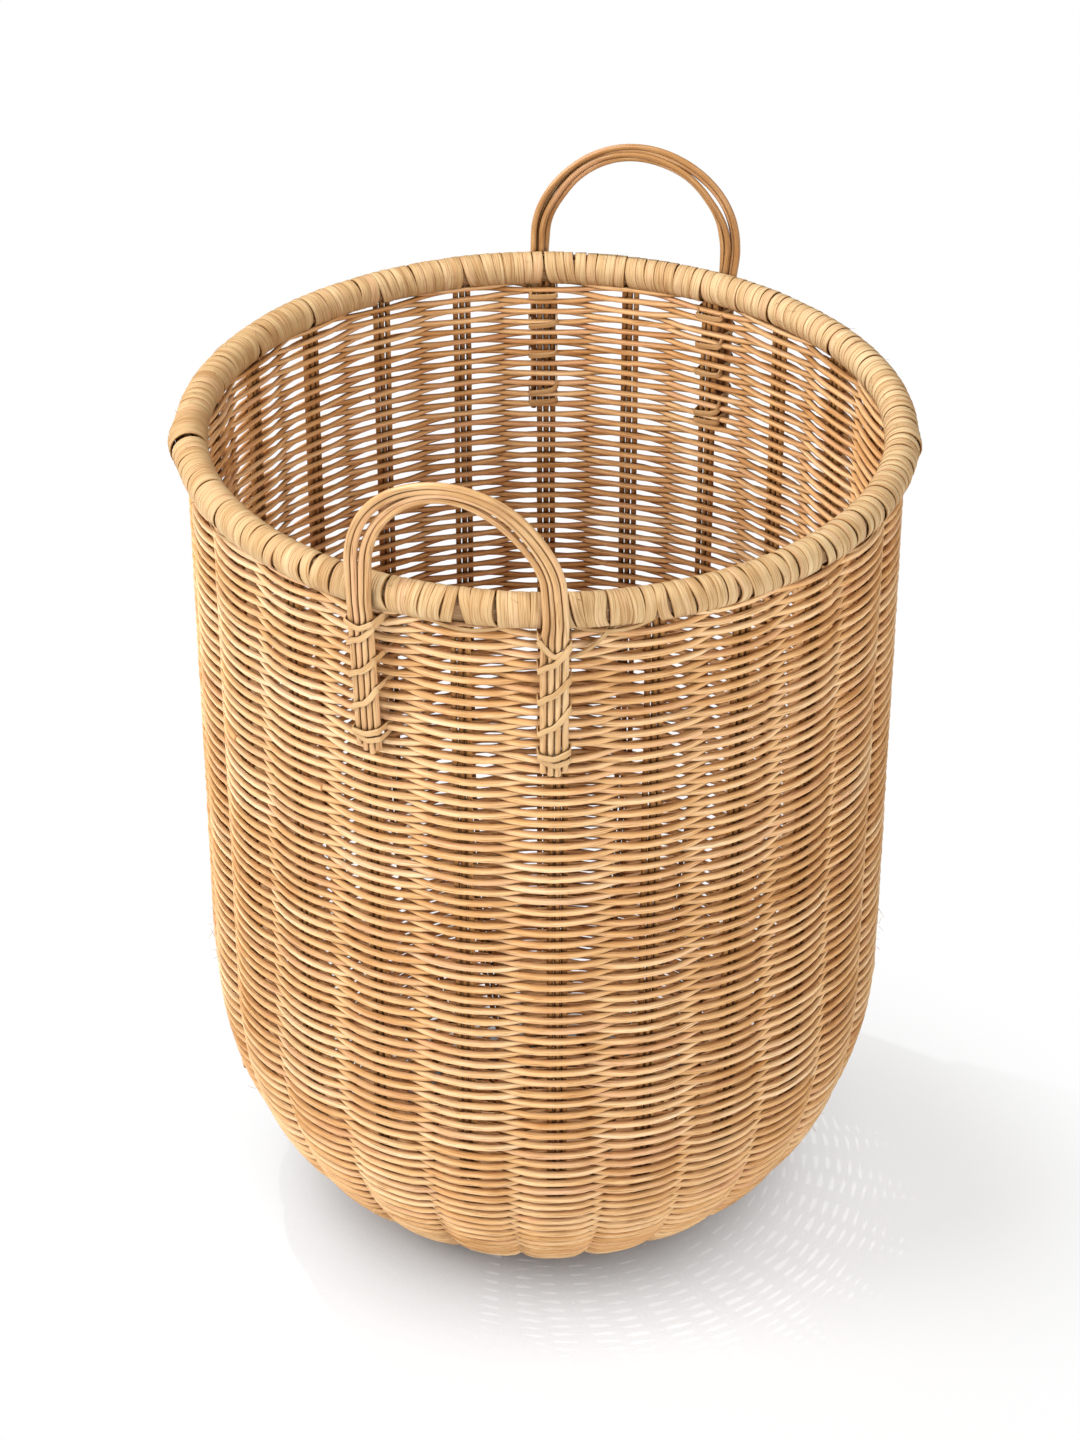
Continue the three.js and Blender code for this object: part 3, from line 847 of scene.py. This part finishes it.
@dataclass
class HandlePlan:
    """One handle, with legs -1 and 1. Where its reeds nest, they close up by a share and every second one
    moves out, and each leg has begun to at the rim. Each parting: which reeds move inwards, how far round
    the arch in degrees, over what width, and how far in millimetres. The ends: how much shorter each reed is
    at each foot, in millimetres."""

    middle_stake: int
    leg_spacing: float
    nesting: float
    nested_depth: float
    gathered: dict
    partings: list
    ends: dict

    def __post_init__(self):
        self.angle = (stake_angle(self.middle_stake - 1) + stake_angle(self.middle_stake + 1)) / 2
        self.half_angle = math.asin(self.leg_spacing / 2 / leg_radius_at_rim)


def handle_path(plan, number):
    """The middle line of one reed, from one lower end over the arch to the other."""
    outermost = (reeds_per_handle - 1) / 2 * handle_pitch
    offset = outermost - number * handle_pitch
    arch_radius = plan.leg_spacing / 2
    arch_base = rim_height + crown_rise - arch_radius
    arch_foot = leg_radius_at_rim * math.cos(plan.half_angle)
    behind = plan.nested_depth * (number % 2)

    def gathered_in(nested):
        return outermost - (outermost - offset) * (1 - plan.nesting * nested)

    def leg(side):
        points = []
        angle = plan.angle + side * plan.half_angle
        length = leg_length - plan.ends[side][number] * mm
        for i in range(leg_steps):
            height = rim_height - length * (1 - i / (leg_steps - 1))
            nested = plan.gathered[side] * max(0, 1 - (rim_height - height) / gathering_length) ** 2
            at = on_wall(angle, leg_radius(height) + behind * nested, height)
            points.append(at + sideways(angle) * (side * gathered_in(nested)))
        return points

    arch = []
    for i in range(arch_steps + 1):
        turn = math.pi * i / arch_steps
        rise = math.sin(turn)
        roll = crown_roll * rise
        gathered = plan.gathered[-1 if turn < math.pi / 2 else 1]
        nested = gathered + (1 - gathered) * rise**2
        spread = gathered_in(nested)
        spread += arch_sway * math.sin(turn * 2.3 + number * 1.9 + plan.middle_stake) * rise
        for reeds, middle, width, depth in plan.partings:
            if number in reeds:
                spread -= depth * mm * bell(math.degrees(turn), middle, width)
        reach = arch_radius + spread * math.cos(roll)
        depth_sway = arch_depth_sway * math.sin(turn * 1.7 + number * 2.6 + plan.middle_stake) * rise
        distance = arch_foot + (crown_radius - arch_foot) * rise**2 + spread * math.sin(roll)
        distance += behind * nested + depth_sway
        point = outward(plan.angle) * distance - sideways(plan.angle) * (reach * math.cos(turn))
        arch.append(point + Vector((0, 0, arch_base + reach * rise)))
    return rounded([*leg(-1), *arch, *reversed(leg(1))], 3)


def bent_reed_tree():
    start = new_tree("Bent reed", handle_sizes)
    path = given_line(start)
    along = along_it(start, "Length")
    drift = wander(start, along * 18, start.out("Seed"), 41) * 0.1
    # painted light on each reed's last part
    drift = drift + smooth(along, painted_light_from, painted_light_to) * painted_light_paling
    path = toned(path, start.out("Tone") + drift, along + start.out("Seed"))
    thickness = 1 + wander(start, along * 30, start.out("Seed"), 42) * 0.03
    swept(path, round_section(start, start.out("Diameter"), 12), thickness, start.out("Finish"))
    return start


handle_plans = {
    "front": HandlePlan(
        middle_stake=0,
        leg_spacing=95 * mm,
        nesting=0.2,
        nested_depth=1.7 * mm,
        gathered={-1: 0.15, 1: 0.6},
        partings=[
            ((3,), 122, 28, 1.6),
            ((2, 3), 45, 28, 1.3),
            ((1,), 35, 20, -0.5),
            ((0, 1, 2, 3), 146, 27, 4.0),
            ((0, 1, 2, 3), 112, 24, 1.6),
            ((0, 1, 2, 3), 45, 30, -1.2),
        ],
        ends={-1: (3.0, 0.5, -0.5, 2.5), 1: (2.0, -0.5, 0.0, 1.5)},
    ),
    "back": HandlePlan(
        middle_stake=stake_count // 2,
        leg_spacing=103 * mm,
        nesting=0.36,
        nested_depth=2.4 * mm,
        gathered={-1: 0.7, 1: 0.95},
        partings=[
            ((2, 3), 36, 14, 1.3),
            ((3,), 14, 10, 0.8),
            ((3,), 75, 24, 0.5),
            ((2, 3), 150, 14, 0.9),
            ((0, 1, 2, 3), 28, 30, -3.0),
            ((0, 1, 2, 3), 135, 26, 0.9),
        ],
        ends={-1: (1.5, 0.0, 1.0, 2.0), 1: (0.5, 2.0, -0.5, 1.0)},
    ),
}
bent_reed_nodes = bent_reed_tree()
# Each reed has its own tone. The back handle's tones are lower: painted shade on its side turned from the
# lamps.
handle_tones = {"front": (0.5, 0.25, 0.45, 0.15), "back": (-0.2, 0.1, -0.4, -0.1)}
for end, plan in handle_plans.items():
    for number in range(reeds_per_handle):
        sizes = handle_sizes | {"Tone": handle_tones[end][number], "Seed": number * 3.1 + plan.middle_stake}
        seed = line_mesh("handle_line", [handle_path(plan, number)])
        reed = grown(f"{end}_handle_reed_{number + 1}", seed, bent_reed_nodes, sizes)
        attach(reed, "root")
        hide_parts(f"handle_{end}_reed_{number + 1}")

# Lashings. One strip of flat cane binds each leg to the stake behind it: twice round near the lower end, up
# in three slanting turns and once round just under the rim. It goes in through the wall beside the stake.

lace_width = 3.0 * mm
lace_thickness = 0.8 * mm
lace_top = 12.2 * mm
stake_half_width = (2 * stake_reed_pitch + stake_reed) / 2
leg_half_width = (3 * handle_pitch + handle_reed) / 2
lace_back_radius = 174.4 * mm
lace_finish = reed_material(
    "lashing_cane_strip",
    tones=[(0.43, 0.23, 0.09), (0.58, 0.36, 0.165), (0.72, 0.50, 0.27)],
    streak=(0.30, 0.14, 0.05),
    flush=(0.56, 0.33, 0.17),
    gloss=0.5,
)
lace_sizes = {"Width": lace_width, "Thickness": lace_thickness, "Tone": 0.5, "Finish": lace_finish}

# Each turn: where it starts on the left of the leg, its lowest or middle part and where it leaves on the
# right, as shares of the way from the top turn down to the leg's end, and how many millimetres it stands off
# the turns below it.
lace_turns = {
    "front_left": [
        (0.855, 0.905, 0.865, 0.0), (0.845, 0.850, 0.800, 0.6), (0.685, 0.620, 0.480, 0.0),
        (0.435, 0.375, 0.262, 0.0), (0.190, 0.135, 0.020, 0.0), (0.020, 0.050, -0.010, 0.6),
    ],
    "front_right": [
        (0.850, 0.915, 0.880, 0.0), (0.835, 0.858, 0.805, 0.6), (0.680, 0.620, 0.480, 0.0),
        (0.440, 0.375, 0.255, 0.0), (0.195, 0.140, 0.000, 0.6), (-0.040, 0.085, 0.030, 0.0),
    ],
    "back_left": [
        (0.870, 0.905, 0.870, 0.0), (0.820, 0.850, 0.810, 0.5), (0.670, 0.600, 0.490, 0.0),
        (0.430, 0.360, 0.270, 0.0), (0.190, 0.130, 0.040, 0.0), (0.000, 0.040, 0.000, 0.5),
    ],
    "back_right": [
        (0.880, 0.910, 0.875, 0.0), (0.830, 0.845, 0.800, 0.5), (0.690, 0.615, 0.500, 0.0),
        (0.440, 0.370, 0.265, 0.0), (0.185, 0.120, 0.030, 0.0), (0.010, 0.050, 0.005, 0.5),
    ],
}
# The back lashings' lower tone is painted shade on the inside of the wall.
lace_tones = {"front": 0.62, "back": 0.1}
lace_corner = 1.3 * mm
lace_clear = 0.25 * mm


def lace_height(share):
    return rim_height - (lace_top + (leg_length - lace_top) * share)


def lashing_path(plan, side, turns):
    leg_angle = plan.angle + side * plan.half_angle
    off_centre = abs(stake_angle(plan.middle_stake + side) - leg_angle) * wall_radius
    half = max(leg_half_width, stake_half_width + off_centre) + lace_clear + lace_thickness / 2
    points = []

    def add(across, radius, height):
        points.append(on_wall(leg_angle, radius, height) + sideways(leg_angle) * across)

    def front(height, lift):
        return leg_radius(height) + handle_reed / 2 + lace_clear + lace_thickness / 2 + lift * mm

    for turn, (left, middle, right, lift) in enumerate(turns):
        low, mid, high = lace_height(left), lace_height(middle), lace_height(right)
        is_last = turn + 1 == len(turns)
        after = high if is_last else lace_height(turns[turn + 1][0])
        add(-half, front(low, lift) - 2 * lace_corner, low)
        add(-half + lace_corner / 2, front(low, lift) - lace_corner / 3, low + (mid - low) * 0.15)
        add(-half / 2, front(mid, lift), low + (mid - low) * 0.65)
        add(0, front(mid, lift), mid)
        add(half / 2, front(mid, lift), mid + (high - mid) * 0.42)
        add(half - lace_corner / 2, front(high, lift) - lace_corner / 3, mid + (high - mid) * 0.9)
        add(half, front(high, lift) - 2 * lace_corner, high)
        add(half, lace_back_radius + 2 * lace_corner, high)
        add(half - lace_corner, lace_back_radius, high)
        if not is_last:
            add(-half + lace_corner, lace_back_radius, high + (after - high) * 0.3)
            add(-half, lace_back_radius + 2 * lace_corner, after)
    return rounded(points, 4)


def facings(line):
    """The way that a strip along the line faces: across the line and level."""
    ways = []
    for i in range(len(line)):
        ahead = line[min(i + 1, len(line) - 1)] - line[max(i - 1, 0)]
        ways.append(ahead.cross(Vector((0, 0, 1))).normalized())
    return ways


strip_nodes = strip_tree(lace_sizes)
for end, plan in handle_plans.items():
    for hand, side in (("left", -1), ("right", 1)):
        line = lashing_path(plan, side, lace_turns[f"{end}_{hand}"])
        seed = line_mesh("lashing_line", [line], [facings(line)])
        strip = grown(f"{end}_{hand}_lashing", seed, strip_nodes, lace_sizes | {"Tone": lace_tones[end]})
        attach(strip, "root")
        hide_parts(f"lashing_{end}_{hand}")

# Loose fibres. Fine hairs of rattan that have split off the reeds and the cane and stand out from the wall
# and the rim, as they do on any unvarnished basket.

fibre_diameter = 0.3 * mm
first_outer_point = 10
rim_arc_start = math.radians(-60)
rim_arc = math.radians(300)
rim_steps = 24


def fibre_sizes(hairs, first, last, seed, finish):
    """How many hairs, between which distances along the profile, and the number of the first one."""
    sizes = {"Hairs": hairs, "First": first, "Last": last, "Seed": seed, "Diameter": fibre_diameter}
    return sizes | {"Finish": finish}


def fibre_tree():
    start = new_tree("Loose fibres", fibre_sizes(1, 0.0, 1.0, 0, weave_finish))
    profile = given_line(start)
    path = copies_of_a_line(start, 7, start.out("Hairs"))
    number = path.out("Duplicate Index") + start.out("Seed")
    run = along_it(start, "Factor")
    angle = chance(start, number, 61, -math.pi, math.pi)
    angle = angle + run * chance(start, number, 62, -0.05, 0.05)
    distance = chance(start, number, 63, start.out("First"), start.out("Last"))
    distance = distance + run * chance(start, number, 64, -4.0, 4.0) * mm + run * run * (2 * mm)
    offset = run * chance(start, number, 65, 0.5, 3.5) * mm
    path = moved_to(path, on_basket(profile, angle, distance, offset))
    path = toned(path, chance(start, number, 66, 0.5, 1.0), run + number * 1.7)
    swept(path, round_section(start, start.out("Diameter"), 3), 1.0 - run * 0.6, start.out("Finish"))
    return start


def rim_profile():
    """The rim's section from its outer underside over the top to its inner underside."""
    points = []
    for i in range(rim_steps + 1):
        turn = rim_arc_start + rim_arc * i / rim_steps
        across = rim_tube_radius * math.cos(turn)
        points.append((rim_radius + across, 0, rim_height + rim_tube_radius * math.sin(turn)))
    return points


def skin_profile():
    """The outside of the weave's crests, beside the middle of the wall."""
    points = []
    reach = weave_reach + weaver_reed / 2
    outer = profile_points[first_outer_point:]
    for a, b in zip(outer, outer[1:]):
        ahead = (b - a).normalized()
        points.append((a.x + ahead.z * reach, 0, a.z - ahead.x * reach))
    return points


fibre_nodes = fibre_tree()
wall_hairs = fibre_sizes(170, 20 * mm, profile_length - 70 * mm, 0, weave_finish)
rim_hairs = fibre_sizes(90, 0.0, rim_tube_radius * rim_arc, 500, wrap_finish)
for name, line, sizes, slot in (
    ("wall_loose_fibres", skin_profile(), wall_hairs, "weaver_reed"),
    ("rim_loose_fibres", rim_profile(), rim_hairs, "wrap_cane"),
):
    hairs = grown(name, line_mesh("hair_line", [line]), fibre_nodes, sizes)
    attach(hairs, "root")

# Stage. A white glossy studio floor that fades into white around the basket, a lamp at the upper left behind
# it, which throws its shadow to the lower right, soft light from the front, and the camera.

floor_radius = 8.0
contact_radius = 0.085
contact_end = 0.16
shadow_middle = (0.09, -0.07)
shadow_radius = 0.16
white_radius = 0.31
shadow_share = 0.40
floor_mesh = bpy.data.meshes.new("floor")
corners = [(x * floor_radius, y * floor_radius, 0) for x, y in ((-1, -1), (1, -1), (1, 1), (-1, 1))]
floor_mesh.from_pydata(corners, [], [(0, 1, 2, 3)])
floor = bpy.data.objects.new("floor", floor_mesh)
bpy.context.scene.collection.objects.link(floor)


def seen_rays(pen):
    """1 for rays from the camera or through something clear, and 0 for those that light or mirror."""
    rays = pen.node("ShaderNodeLightPath")
    seen = rays.out("Is Camera Ray") + rays.out("Is Transmission Ray")
    return seen.math("MINIMUM", 1)


def floor_material():
    """Glossy paint where the basket's shadow falls, and plain white light further out. The paint carries a
    painted contact shadow close under the basket, darker where ambient occlusion finds little open air."""
    material, pen = new_material("studio_floor")
    axes = axes_of(pen.node("ShaderNodeTexCoord").out("Object"))

    def distance(middle):
        right = axes.out("X") - middle[0]
        back = axes.out("Y") - middle[1]
        return (right * right + back * back).math("SQRT")

    # painted contact shadow: the paint darkens where little is open to the air under the basket
    open_to_air = pen.node("ShaderNodeAmbientOcclusion", {"samples": 8}, {"Distance": 0.07}).out("AO")
    painted_contact_shadow = {"A": (0.30, 0.27, 0.26, 1), "B": (0.90, 0.925, 0.96, 1)}
    painted_contact_shadow["Factor"] = smooth(open_to_air, 0.3, 0.95)
    paint = pen.node("ShaderNodeMix", {"data_type": "RGBA"}, painted_contact_shadow)
    gloss = pen.node("ShaderNodeBsdfPrincipled", inputs={"Base Color": paint, "Roughness": 0.09})
    white = pen.node("ShaderNodeEmission", inputs={"Color": (1, 1, 1, 1), "Strength": 1.0})
    past_contact = smooth(distance((0, 0)), contact_radius, contact_end) * (1 - shadow_share)
    past_shadow = smooth(distance(shadow_middle), shadow_radius, white_radius) * shadow_share
    fade = (past_contact + past_shadow) * seen_rays(pen)
    whole = pen.node("ShaderNodeMixShader", inputs={0: fade, 1: gloss, 2: white})
    pen.node("ShaderNodeOutputMaterial", inputs={"Surface": whole})
    return material


floor_mesh.materials.append(floor_material())

world = bpy.data.worlds.new("studio")
bpy.context.scene.world = world
world.use_nodes = True
world.node_tree.nodes.clear()
sky = Wire(world.node_tree)
light = sky.node("ShaderNodeBackground", inputs={"Color": (1.0, 0.90, 0.76, 1), "Strength": 0.19})
backdrop = sky.node("ShaderNodeBackground", inputs={"Color": (1, 1, 1, 1), "Strength": 1.0})
both = sky.node("ShaderNodeMixShader", inputs={0: seen_rays(sky), 1: light, 2: backdrop})
sky.node("ShaderNodeOutputWorld", inputs={"Surface": both})


def soft_box(name, place, aim, size, power):
    lamp_data = bpy.data.lights.new(name, "AREA")
    lamp_data.shape = "DISK"
    lamp_data.size = size
    lamp_data.energy = power
    lamp = bpy.data.objects.new(name, lamp_data)
    lamp.location = place
    lamp.rotation_euler = (Vector(aim) - Vector(place)).to_track_quat("-Z", "Y").to_euler()
    bpy.context.scene.collection.objects.link(lamp)


soft_box("key", (-0.86, 0.455, 2.41), (0, 0, 0), 0.03, 26)
soft_box("top", (0.3, -0.2, 2.4), (0, 0, 0.25), 1.2, 7)
soft_box("left", (-1.58, -1.1, 1.62), (0, 0, 0.27), 1.3, 55)
soft_box("right", (1.3, -1.4, 1.1), (0, 0, 0.25), 1.0, 25)

camera_distance = 1911.6 * mm
camera_azimuth = math.radians(14.05)
camera_elevation = math.radians(28.60)
camera_pitch = math.radians(33.12)
camera_yaw = math.radians(-0.11)
camera_data = bpy.data.cameras.new("camera")
camera_data.lens = 93.2
camera_data.sensor_width = 36
camera = bpy.data.objects.new("camera", camera_data)
away = Vector((0, -math.cos(camera_elevation), math.sin(camera_elevation)))
place = away * camera_distance + Vector((0, 0, rim_height))
turn = Matrix.Rotation(camera_azimuth, 4, "Z")
look = Matrix.Rotation(-camera_yaw, 4, "Z") @ Matrix.Rotation(math.pi / 2 - camera_pitch, 4, "X")
camera.matrix_world = turn @ Matrix.Translation(place) @ look
bpy.context.scene.collection.objects.link(camera)
bpy.context.scene.camera = camera
bpy.context.scene.view_settings.view_transform = "Standard"
